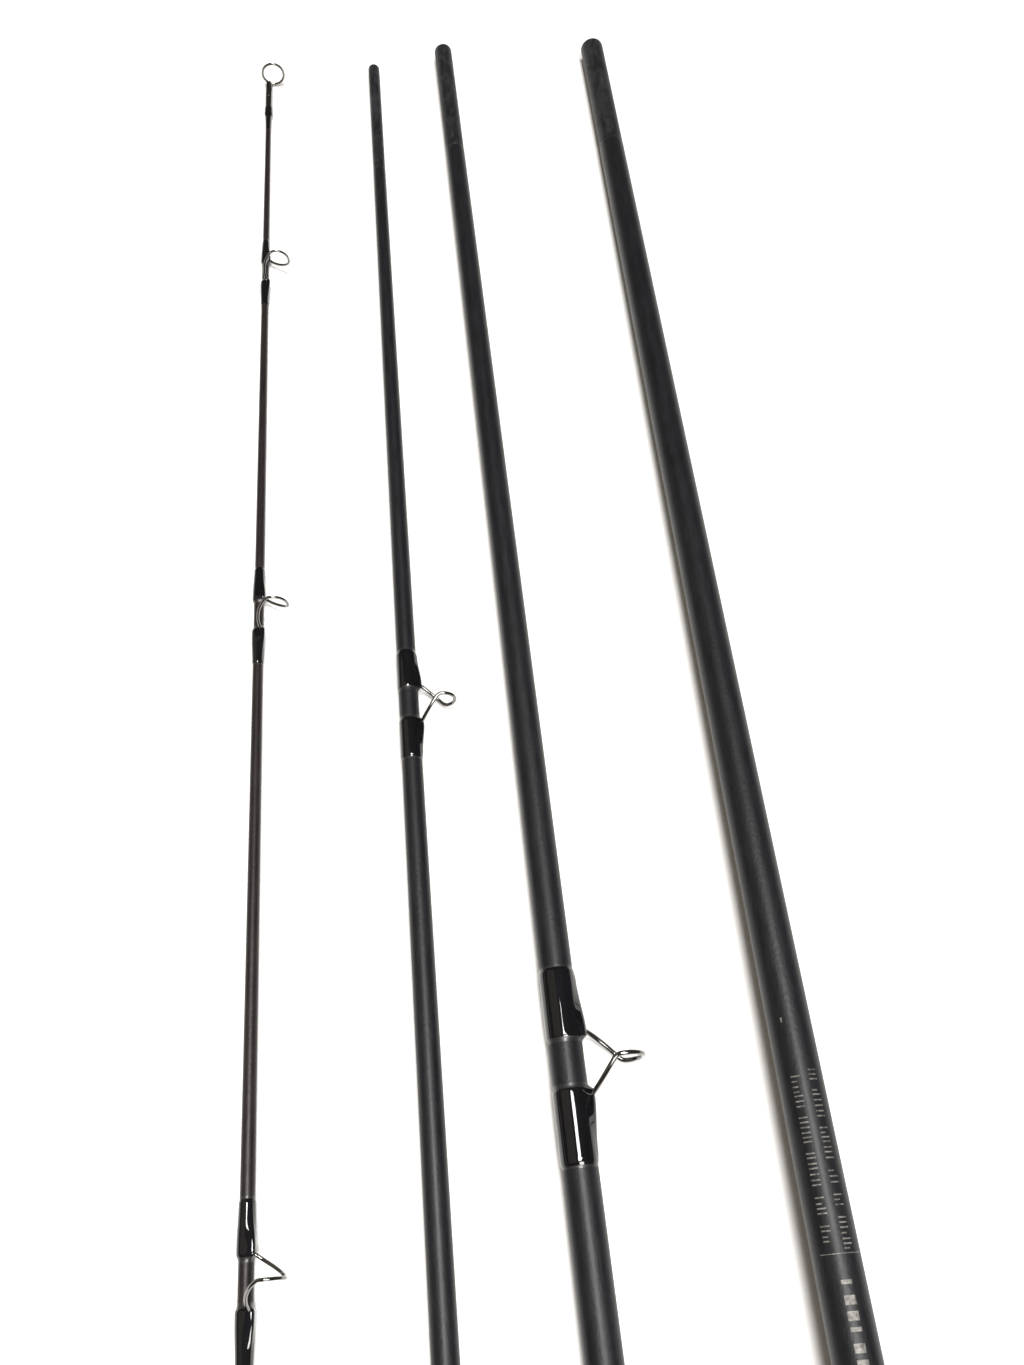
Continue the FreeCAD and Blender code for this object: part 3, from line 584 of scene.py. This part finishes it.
class SnakeGuide(Binding):
    """A snake guide's sizes, as bent from one wire."""

    def __init__(self, loop_r, stand_off, lead, pear, meet, bend, **binding):
        super().__init__(**binding)
        self.loop_r = loop_r
        self.stand_off = stand_off
        self.lead = lead
        self.pear = pear
        self.meet = meet
        self.bend = bend

    def path(self, section, station):
        """Foot, open loop round the line's way, foot."""
        foot_x = self.foot_x(section, station)
        centre = foot_x + self.loop_r + self.stand_off
        reach = self.half_gap + self.lead
        points = [Vector((foot_x, station - self.foot, 0))]
        steps = 30
        for index in range(steps + 1):
            angle = TURN * index / steps
            half = math.cos(angle / 2)
            side = -1 if half > 0 else 1
            share = min(1.0, math.sin(angle / 2) ** 2 / self.meet)
            points.append(Vector((
                centre - self.loop_r * math.cos(angle) - self.stand_off * half ** 6,
                station + side * reach * (1 - share ** self.bend),
                self.loop_r * math.sin(angle) * math.sin(angle / 2) ** self.pear)))
        points.append(Vector((foot_x, station + self.foot, 0)))
        return rounded(points, 3)


def foot_share(reach, binding):
    """How much of the wire's thickness a foot keeps, from its heel to its ground-down toe."""
    return 1 - TOE_THINNING * between(reach, binding.half_gap + HEEL, binding.foot)


def hull_radius(blank_r, wire_r, angle):
    """The reach of thread pulled tight round the blank and a wire lying on it."""
    if wire_r < THINNEST_WIRE:
        return blank_r
    apart = blank_r + wire_r
    turn = math.acos((blank_r - wire_r) / apart)
    near = math.atan2(wire_r * math.sin(turn), apart + wire_r * math.cos(turn))
    angle = abs((angle + math.pi) % TURN - math.pi)
    if angle >= turn:
        return blank_r
    if angle >= near:
        return blank_r / math.cos(angle - turn)
    rise = math.sqrt(max(0.0, wire_r ** 2 - (apart * math.sin(angle)) ** 2))
    return apart * math.cos(angle) + rise


def clear_stations(station, binding):
    """Where a pair of wraps is only clear epoxy, past the first and the last turn of thread."""
    zones = []
    for side in (-1, 1):
        for low, high in ((-EPOXY_AHEAD, 0.0), (binding.wrap, binding.wrap + EPOXY_BEHIND)):
            ends = [station + side * (binding.half_gap + reach) for reach in (low, high)]
            zones.append((min(ends), max(ends)))
    return zones


def wrap_rings(section, station, side, binding, seed):
    """One foot's wrap: epoxy edge, rounded shoulder, fat heel, long slope to the toe, epoxy edge."""
    wrap, half_gap = binding.wrap, binding.half_gap
    run_out = RUN_OUT + RUN_OUT_PER_COAT * (binding.coat - PLAIN_COAT)
    rings = []
    for reach in spread(-EPOXY_AHEAD, wrap + EPOXY_BEHIND, WRAP_STEP):
        place = station + side * (half_gap + reach)
        blank_r = section.radius(place)
        wire_r = binding.wire / 2 * foot_share(half_gap + reach, binding)
        if half_gap + reach > binding.foot:
            wire_r *= 1 - between(reach, binding.foot - half_gap, wrap)
        thread_depth = THREAD_DEPTH * between(reach, -0.05, THREAD_EDGE) * (
            1 - between(reach, wrap - THREAD_EDGE, wrap))
        epoxy = EPOXY_SKIN + binding.coat * between(reach, -EPOXY_AHEAD, 0.9) * (
            1 - between(reach, wrap - run_out, wrap + EPOXY_BEHIND))
        shoulder = between(reach, -EPOXY_AHEAD, 0.6)
        ring = []
        for index in range(AROUND):
            angle = TURN * index / AROUND
            hull = blank_r + (hull_radius(blank_r, wire_r, angle) - blank_r) * shoulder
            spot = Vector((math.cos(angle) * 0.9, place * 0.25, math.sin(angle) * 0.9 + seed))
            sag = SAG * noise.noise(spot)
            ring.append(at_angle(hull + thread_depth + epoxy + sag * shoulder, angle, place))
        rings.append(ring)
    first, last = ([Vector((p.x * TUCK, p.y, p.z * TUCK)) for p in ring]
                   for ring in (rings[0], rings[-1]))
    rings = [first] + rings + [last]
    return rings if side > 0 else list(reversed(rings))


def wrap_pair(section, station, binding, seed):
    """The wraps over both feet, as one skin."""
    wraps = Skin()
    for side in (-1, 1):
        wraps.loft(wrap_rings(section, station, side, binding, seed + side))
    return wraps


def make_snake_guide(section, label, number, station, guide):
    """A snake guide's wire, its feet ground down on top, and the wraps that bind it."""
    name = label + "_snake_guide_" + str(number)
    path = guide.path(section, station)
    radii = [guide.wire / 2 * foot_share(abs(point.y - station), guide) for point in path]
    floor_x = guide.foot_x(section, station) - guide.wire / 2
    path = [Vector((max(point.x - (guide.wire / 2 - radius), floor_x + radius), point.y, point.z))
            for point, radius in zip(path, radii)]
    Skin().tube(path, radii).piece(name + "_wire", section, chrome, [name], "chromed_wire")
    node = label + "_guide_wraps_" + str(number)
    wraps = wrap_pair(section, station, guide, number * 3.1)
    wraps.piece(node + "_thread", section, thread, [node], "wrap_thread", 60.0,
                (epoxy_over[section], clear_stations(station, guide)))


TIP_GUIDE = SnakeGuide(wire=0.72, loop_r=3.70, stand_off=1.05, lead=0.9, pear=0.15, meet=0.75,
                       bend=0.60, half_gap=4.25, wrap=10.2, coat=0.30)
UPPER_GUIDE = SnakeGuide(wire=0.88, loop_r=4.00, stand_off=0.60, lead=1.0, pear=0.70, meet=0.60,
                         bend=1.10, half_gap=4.25, wrap=10.4)
LOWER_GUIDE = SnakeGuide(wire=1.02, loop_r=5.70, stand_off=0.30, lead=1.5, pear=0.60, meet=0.57,
                         bend=1.20, half_gap=5.0, wrap=14.4)

for number, station in enumerate((98.4, 226.1, 377.6, 533.5, 686.5), start=1):
    make_snake_guide(TIP, "tip", number, station, TIP_GUIDE)
for number, station in enumerate((259.0, 466.0, 686.0), start=1):
    make_snake_guide(UPPER, "upper_mid", number, station, UPPER_GUIDE)
make_snake_guide(LOWER, "lower_mid", 1, 353.0, LOWER_GUIDE)


# ---------------------------------------------------------------- plain wraps

FERRULE_WRAP = (709.6, 727.6)


def make_ferrule_wrap(section, label):
    """Thread round a socket's mouth under a smooth coat that runs out thin over the blank."""
    start, end = FERRULE_WRAP
    foot = start - 0.9
    outline = [(section.radius(start) - 0.1, foot)]
    for station in spread(foot, end, 0.3):
        built_up = between(station, start - 0.2, start + 0.5)
        rise = 0.02 + 0.30 * built_up * (1 - 0.7 * between(station, end - 0.5, end))
        outline.append((section.radius(station) + rise, station))
    outline.append((section.radius(end) - 0.1, end))
    node = label + "_ferrule_wrap"
    Skin().turned(outline).piece(node + "_thread", section, thread, [node], "wrap_thread", 60.0)


make_ferrule_wrap(TIP, "tip")
make_ferrule_wrap(UPPER, "upper_mid")
make_ferrule_wrap(LOWER, "lower_mid")


# ---------------------------------------------------------------- tip top

def make_tip_top():
    """The loop of wire soldered to a closed tube, and the wrap that runs off the tube's end."""
    tube_r, tube_end, wire_r, loop_r = 1.20, 19.0, 0.40, 3.65
    turn = math.radians(12)
    centre = Vector((loop_r * math.cos(turn), wire_r, -loop_r * math.sin(turn)))
    loop = Skin().hoop(centre, loop_r, wire_r)
    loop.piece("tip_top_loop_wire", TIP, chrome, ["tip_top_loop"], "chromed_wire")
    outline = [(CLOSED, 0.66), (0.45, 0.68), (0.75, 0.78), (0.98, 1.0), (1.12, 1.4), (tube_r, 2.1)]
    outline += [(tube_r, station) for station in spread(3.0, tube_end - 0.3, 1.0)]
    outline += [(tube_r - 0.05, tube_end), (0.9, tube_end), (0.9, 4.0)]
    tube = Skin().turned(outline, SLIM_AROUND)
    tube.ball((0.35, 0.75, -0.08), (0.62, 0.40, 0.50))
    tube.piece("tip_top_tube_shell", TIP, chrome, ["tip_top_tube"], "chromed_wire", 60.0)
    wrap = [(tube_r - 0.1, 14.4), (tube_r + 0.02, 14.4), (tube_r + 0.05, 15.0), (tube_r + 0.17, 15.5)]
    for station in spread(15.9, 26.8, 0.3):
        covered = 1 - between(station, 18.6, 20.6)
        under = TIP.radius(station) * (1 - covered) + tube_r * covered
        wrap.append((under + 0.19 - 0.12 * between(station, 21.0, 26.5), station))
    wrap += [(TIP.radius(27.2) + 0.02, 27.3), (TIP.radius(27.2) - 0.1, 27.3)]
    thread_skin = Skin().turned(wrap, SLIM_AROUND)
    thread_skin.piece("tip_top_wrap_thread", TIP, thread, ["tip_top_wrap"], "wrap_thread", 60.0)


make_tip_top()


# ---------------------------------------------------------------- stripping guide

def strut_path(top, foot_x, heel_y, toe_y, side, hand):
    """One leg of the stripping guide, from its band down to the blank and along it to the toe."""
    apart = hand * 0.12
    heel = Vector((foot_x, heel_y, apart))
    return rounded([top, top.lerp(heel, 0.5), heel, Vector((foot_x, heel_y + side * 1.5, apart)),
                    Vector((foot_x - 0.1, toe_y, 0))], 4)


def make_stripping_guide():
    """Two bent legs and a band of wire that hold a polished ceramic ring, bound by two wraps."""
    station, half_gap, wrap, wire = 606.0, 6.0, 15.3, 1.10
    band_r, band_wire = 5.70, 0.65
    outer_r, inner_r, half = 5.28, 4.30, 0.95
    spread_angle = math.radians(62)
    binding = Binding(wire, half_gap, wrap)
    foot_x = binding.foot_x(LOWER, station)
    centre_x = LOWER.radius(station + half_gap + wrap) + 9.0
    frame_skin = Skin().hoop(Vector((centre_x, station, 0)), band_r, band_wire)
    for side in (-1, 1):
        heel_y = station + side * (half_gap + 0.6)
        toe_y = heel_y + side * FOOT_PER_WRAP * wrap
        for hand in (-1, 1):
            top = Vector((centre_x - band_r * math.cos(spread_angle), station,
                          hand * band_r * math.sin(spread_angle)))
            path = strut_path(top, foot_x, heel_y, toe_y, side, hand)
            radii = []
            for point in path:
                reach = abs(point.y - station)
                ground = 0.6 * between(reach, half_gap + 6.0, abs(toe_y - station))
                radii.append(wire / 2 * 0.85 * (1 - ground))
            frame_skin.tube(path, radii)
            frame_skin.ball((top.x, top.y, top.z), (0.75, 0.6, 0.75))
    frame_skin.piece("stripping_guide_wires", LOWER, chrome, ["stripping_guide_frame"], "chromed_wire")
    middle_r = (outer_r + inner_r) / 2
    outline = [(outer_r, station - half * 0.6), (outer_r - 0.15, station - half * 0.95)]
    for index in range(13):
        turn = math.pi * index / 12
        outline.append((middle_r - (middle_r - inner_r) * math.sin(turn),
                        station - half * math.cos(turn)))
    outline += [(outer_r - 0.15, station + half * 0.95), (outer_r, station + half * 0.6)]
    ring = Skin().turned(outline, BROAD_AROUND, (centre_x, 0.0), closed=True)
    ring.piece("stripping_guide_ring_polished", LOWER, ceramic, ["stripping_guide_ring"],
               "ring_ceramic", 60.0)
    wraps = wrap_pair(LOWER, station, binding, 40)
    wraps.piece("stripping_guide_thread", LOWER, thread, ["stripping_guide_wraps"],
                "wrap_thread", 60.0)


make_stripping_guide()


# ---------------------------------------------------------------- hook keeper

def make_hook_keeper():
    """A small flat-topped loop of wire ahead of the grip, its feet under two short wraps."""
    start, length, rise, wire, foot, bend = 420.0, 9.0, 3.6, 0.80, 5.0, 1.3
    middle = start + length / 2
    foot_x = BUTT.radius(middle + length / 2 + foot) + wire / 2 + CLEARANCE
    top_x = foot_x + rise
    points = [Vector((x, y, 0)) for x, y in (
        (foot_x, start - foot), (foot_x, start), (top_x - bend, start + bend * 0.6),
        (top_x, start + bend * 1.8), (top_x + 0.25, middle), (top_x, start + length - bend * 1.8),
        (top_x - bend, start + length - bend * 0.6), (foot_x, start + length),
        (foot_x, start + length + foot))]
    path = rounded(points, 4)
    keeper = Skin().tube(path, [wire / 2] * len(path))
    keeper.piece("hook_keeper_wire", BUTT, chrome, ["hook_keeper"], "chromed_wire")
    wraps = wrap_pair(BUTT, middle, Binding(wire, length / 2 + 0.3, foot + 1.0), 60)
    wraps.piece("hook_keeper_thread", BUTT, thread, ["hook_keeper_wraps"], "wrap_thread", 60.0)


make_hook_keeper()


# ---------------------------------------------------------------- grip

def smooth_through(points, station):
    """A smooth curve's height at a station, through (station, height) points."""
    for index in range(len(points) - 1):
        (x0, y0), (x1, y1) = points[index], points[index + 1]
        if station <= x1 or index == len(points) - 2:
            before = points[max(0, index - 1)]
            after = points[min(len(points) - 1, index + 2)]
            slope0 = (y1 - before[1]) / (x1 - before[0])
            slope1 = (after[1] - y0) / (after[0] - x0)
            share = (station - x0) / (x1 - x0)
            span = x1 - x0
            return ((2 * share ** 3 - 3 * share ** 2 + 1) * y0
                    + (share ** 3 - 2 * share ** 2 + share) * span * slope0
                    + (3 * share ** 2 - 2 * share ** 3) * y1
                    + (share ** 3 - share ** 2) * span * slope1)
    return points[-1][1]


def make_grip():
    """Fourteen cork rings turned to one shape, with fine joints and shallow pits."""
    widest, bore = 12.88, 5.0
    joint_depth, pit_depth, roughness = 0.07, 0.22, 0.02
    profile = [(GRIP_START + GRIP_LENGTH * share, radius) for share, radius in (
        (0.0, 6.8), (0.13, 8.3), (0.30, 10.4), (0.46, 11.3), (0.66, 12.4), (0.80, 12.9),
        (0.91, 12.5), (1.0, 11.6))]
    ring_length = GRIP_LENGTH / CORK_RINGS
    stations = []
    for number in range(CORK_RINGS):
        low = GRIP_START + number * ring_length
        stations += [low, low + 0.12] + spread(low + 0.6, low + ring_length - 0.6, 0.7)
        stations += [low + ring_length - 0.12]
    stations.append(GRIP_START + GRIP_LENGTH)
    rings = []
    for station in stations:
        base = min(smooth_through(profile, station), widest)
        reach = (station - GRIP_START) / ring_length
        number = int(reach)
        groove = joint_depth * (1 - between(abs(reach - round(reach)) * ring_length, 0.0, 0.2))
        ring = []
        for index in range(GRIP_AROUND):
            angle = TURN * index / GRIP_AROUND
            x, z = math.cos(angle) * base, math.sin(angle) * base
            place = Vector((x * 0.33, station * 0.9 + number * 17.0, z * 0.33))
            pit = between(noise.noise(place), 0.42, 0.62) * pit_depth
            fine = roughness * noise.noise(Vector((x * 1.6, station * 1.6, z * 1.6)))
            ring.append(at_angle(base - groove - pit + fine, angle, station))
        rings.append(ring)
    front, back = ([at_angle(bore, TURN * i / GRIP_AROUND, station) for i in range(GRIP_AROUND)]
                   for station in (GRIP_START, GRIP_START + GRIP_LENGTH))
    grip = Skin().loft([front] + rings + [back])
    grip.piece("cork_grip", BUTT, cork_stuff, ["cork_grip_rings"], "cork", 40.0)


make_grip()


# ---------------------------------------------------------------- reel seat

def make_threaded_barrel():
    """The barrel with its single thread, cut flat along the reel foot's bed."""
    start, end, outer_r, bore_r, pitch, depth = 681.0, 723.0, 9.20, 7.05, 1.5, 0.42
    bed, bed_end = 7.60, 714.0

    def ring_at(station, radius_of):
        ring = []
        for index in range(BROAD_AROUND):
            angle = TURN * index / BROAD_AROUND
            radius = radius_of(angle)
            if station <= bed_end and math.cos(angle) > 0.2:
                radius = min(radius, bed / math.cos(angle))
            ring.append(at_angle(radius, angle, station))
        return ring

    rings = [ring_at(start, lambda angle: bore_r)]
    for station in spread(start, end, 0.125) + [bed_end + 0.001]:
        def profile(angle, station=station):
            turn = (station / pitch - angle / TURN) % 1.0
            crest = between(turn, 0.10, 0.34) * (1 - between(turn, 0.66, 0.90))
            edge = 0.5 * (1 - between(station, start, start + 0.5))
            return outer_r - depth * (1 - crest) - edge
        rings.append(ring_at(station, profile))
    rings.append(ring_at(end, lambda angle: bore_r))
    rings.sort(key=lambda ring: ring[0].y)
    barrel = Skin().loft(rings)
    barrel.piece("threaded_barrel_cut", BUTT, anodised, ["threaded_barrel"], "black_anodised", 50.0)


make_threaded_barrel()


def make_winding_check():
    """The turned metal collar that covers the joint of cork and blank."""
    start, bore, reach = 440.4, 4.72, 6.4
    outline = [(bore, start), (reach - 1.2, start), (reach - 0.6, start + 0.25),
               (reach - 0.25, start + 0.7), (reach - 0.25, start + 1.0),
               (reach - 0.4, start + 1.15), (reach - 0.05, start + 1.4), (reach, start + 1.7),
               (reach, start + 2.4), (reach - 0.15, start + 2.58), (bore, start + 2.58)]
    check = Skin().turned(outline, BROAD_AROUND, closed=True)
    check.piece("winding_check_turned", BUTT, anodised, ["winding_check"], "black_anodised", 30.0)


make_winding_check()

NODE_FINISHES = {
    "reel_seat_insert": wood,
    "fixed_hood": anodised,
    "sliding_hood": anodised,
    "lock_nut": anodised,
    "butt_cap": anodised,
    "hood_washer": nylon,
    "nut_grip_ring": rubber,
    "seat_arbors": foam,
}
for node, material in NODE_FINISHES.items():
    mesh = frame["nodes"][node].data
    mesh.materials.clear()
    mesh.materials.append(material)


# ---------------------------------------------------------------- printed marks on the butt

PRINT_LIFT = 0.02      # the print's height over the blank


def strip_on_blank(skin, low, high, from_angle, to_angle, steps=6):
    """A thin printed patch that follows the blank between two stations and two angles."""
    first = len(skin.points)
    for station in (low, high):
        radius = BUTT.radius(station) + PRINT_LIFT
        for angle in spread(from_angle, to_angle, abs(to_angle - from_angle) / steps):
            skin.points.append(at_angle(radius, angle, station))
    count = steps + 1
    for index in range(steps):
        low_row = first + index
        skin.faces.append((low_row, low_row + 1, low_row + count + 1, low_row + count))


def make_printed_marks():
    """Two rows of ticks, a hairline ring and a row of bars, in place of a maker's print.

    A short slash nearer the front is a scratch in the lacquer.
    """
    rows = random.Random(5)
    marks = Skin()
    up = -math.pi / 2
    half_height = 0.19
    for offset, from_station, to_station in ((-0.46, 357.0, 385.0), (0.34, 356.0, 385.0)):
        bottom = up + offset - half_height
        top = up + offset + half_height
        station = from_station
        while station < to_station:
            for _ in range(rows.randint(3, 7)):
                short = rows.choice((0.0, 0.0, half_height * 0.7))
                strip_on_blank(marks, station, station + 0.26, bottom, top - short)
                station += rows.uniform(0.75, 1.05)
            station += 1.3
    strip_on_blank(marks, 388.5, 388.62, up - 0.95, up + 0.95, steps=24)
    for index in range(11):
        station = 392.8 + index * 2.5
        width = 1.5 if index % 3 else 0.7
        strip_on_blank(marks, station, station + width, up - 0.27, up + 0.17, steps=10)
    strip_on_blank(marks, 345.6, 346.5, up - 0.62, up - 0.53, steps=4)
    marks.piece("printed_marks", BUTT, foil, (), "chromed_wire")


make_printed_marks()


# ---------------------------------------------------------------- studio

def make_floor():
    """A wide pale floor, a hair below the rod so that nothing lies in it."""
    finish = Finish("pale_floor", (0.88, 0.875, 0.865), roughness=0.75)
    cloud = finish.grain((6, 6, 6), 2.0)
    pale = finish.ramp(cloud, (0.3, (0.875, 0.87, 0.86)), (0.7, (0.89, 0.887, 0.88)))
    finish.feed("Base Color", pale)
    mesh = bpy.data.meshes.new("floor")
    half = 8.0
    corners = [(-half, -half, 0), (half, -half, 0), (half, half, 0), (-half, half, 0)]
    mesh.from_pydata(corners, [], [(0, 1, 2, 3)])
    mesh.materials.append(finish.material)
    floor = bpy.data.objects.new("floor", mesh)
    bpy.context.scene.collection.objects.link(floor)
    floor.location.z = -0.0002


DAYLIGHT = (1.0, 0.985, 0.97)
WARM = (1.0, 0.90, 0.72)


def add_light(name, place, aim, size, power, color):
    """A square area light, placed in metres, that faces its aim."""
    data = bpy.data.lights.new(name, "AREA")
    data.shape = "RECTANGLE"
    data.size = size
    data.size_y = size
    data.energy = power
    data.color = color
    light = bpy.data.objects.new(name, data)
    light.location = place
    light.rotation_euler = (Vector(aim) - Vector(place)).to_track_quat("-Z", "Y").to_euler()
    bpy.context.scene.collection.objects.link(light)


def make_world():
    """A dim warm surround, so that no reflection is black."""
    world = bpy.data.worlds.new("studio")
    world.use_nodes = True
    background = world.node_tree.nodes["Background"]
    background.inputs["Color"].default_value = (1.0, 0.90, 0.74, 1)
    background.inputs["Strength"].default_value = 0.11
    bpy.context.scene.world = world


def make_camera():
    """The view from behind and above the row, set out from the front end of the butt section."""
    front = BUTT.matrix.translation
    eye = Vector((front.x - 0.06585, front.y - 0.3882, 0.2421))
    pitch, yaw, roll = math.radians(61.19), math.radians(5.571), math.radians(0.243)
    ahead = Vector((math.sin(yaw) * math.cos(pitch), math.cos(yaw) * math.cos(pitch),
                    -math.sin(pitch)))
    level = Vector((math.cos(yaw), -math.sin(yaw), 0))
    upright = level.cross(ahead)
    right = level * math.cos(roll) + upright * math.sin(roll)
    up = upright * math.cos(roll) - level * math.sin(roll)
    data = bpy.data.cameras.new("camera")
    data.sensor_width = 36.0
    data.lens = 29.01
    data.clip_start = 0.005
    camera = bpy.data.objects.new("camera", data)
    camera.matrix_world = Matrix((
        (right.x, up.x, -ahead.x, eye.x),
        (right.y, up.y, -ahead.y, eye.y),
        (right.z, up.z, -ahead.z, eye.z),
        (0, 0, 0, 1)))
    bpy.context.scene.collection.objects.link(camera)
    bpy.context.scene.camera = camera


make_floor()
make_world()
add_light("softbox", (0.24, -0.65, 1.30), (0.0, 0.08, 0.0), 0.60, 25.0, DAYLIGHT)
add_light("overhead", (0.03, 0.12, 1.6), (0.0, 0.05, 0.0), 0.42, 20.0, DAYLIGHT)
add_light("bulb", (0.30, 0.05, 1.5), (0.0, 0.05, 0.0), 0.05, 2.2, DAYLIGHT)
add_light("fill", (-1.2, 0.3, 1.3), (0.0, 0.1, 0.0), 1.6, 3.0, WARM)
make_camera()
bpy.context.scene.view_settings.view_transform = "Standard"
